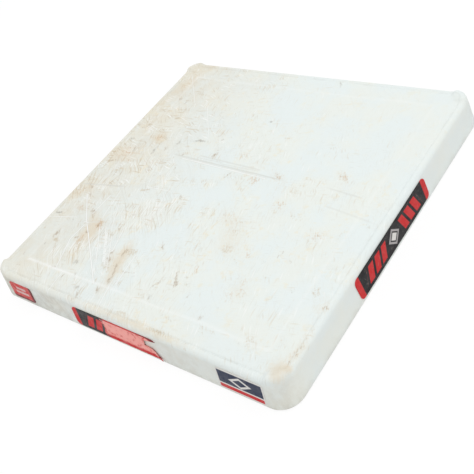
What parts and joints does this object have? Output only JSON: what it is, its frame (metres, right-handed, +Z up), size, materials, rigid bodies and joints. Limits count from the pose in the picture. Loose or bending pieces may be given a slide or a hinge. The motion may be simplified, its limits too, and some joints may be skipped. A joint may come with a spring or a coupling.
{
  "type": "baseball base",
  "caption": "Square white rubber baseball base with leaning walls, raised corner ears and wall labels, carried on a steel plate with a square ground stanchion.",
  "frame": {"origin": "middle of the underside, at ground level on the stanchion's axis", "axes": "+Z up, front wall (three labels) faces -Y, right wall (one long label) faces +X"},
  "size_m": [0.3814, 0.3815, 0.125],
  "materials": {
    "cover_rubber": "matte",
    "core_foam": "matte",
    "plate_steel": "galvanised",
    "bar_steel": "satin",
    "flange_steel": "satin",
    "tube_steel": "galvanised",
    "fastener_zinc": "bright",
    "plug_plastic": "matte",
    "corner_label_vinyl": "worn",
    "front_strip_vinyl": "worn",
    "badge_vinyl": "worn",
    "side_strip_vinyl": "worn"
  },
  "bodies": {
    "root": {"base_plate": "plate_steel", "clamp_bar_back": "bar_steel", "clamp_bar_front": "bar_steel", "clamp_bar_left": "bar_steel", "clamp_bar_right": "bar_steel", "flange_bolt_1": "fastener_zinc", "flange_bolt_2": "fastener_zinc", "flange_bolt_3": "fastener_zinc", "flange_bolt_4": "fastener_zinc", "flange_nut_1": "fastener_zinc", "flange_nut_2": "fastener_zinc", "flange_nut_3": "fastener_zinc", "flange_nut_4": "fastener_zinc", "flange_washer_1": "fastener_zinc", "flange_washer_2": "fastener_zinc", "flange_washer_3": "fastener_zinc", "flange_washer_4": "fastener_zinc", "foam_core": "core_foam", "front_badge_label": "badge_vinyl", "front_corner_label": "corner_label_vinyl", "front_strip_label": "front_strip_vinyl", "plate_screw_1": "fastener_zinc", "plate_screw_10": "fastener_zinc", "plate_screw_11": "fastener_zinc", "plate_screw_12": "fastener_zinc", "plate_screw_2": "fastener_zinc", "plate_screw_3": "fastener_zinc", "plate_screw_4": "fastener_zinc", "plate_screw_5": "fastener_zinc", "plate_screw_6": "fastener_zinc", "plate_screw_7": "fastener_zinc", "plate_screw_8": "fastener_zinc", "plate_screw_9": "fastener_zinc", "rubber_cover": "cover_rubber", "side_strip_label": "side_strip_vinyl", "stanchion_flange": "flange_steel", "stanchion_plug": "plug_plastic", "stanchion_tube": "tube_steel"}
  },
  "joints": []
}
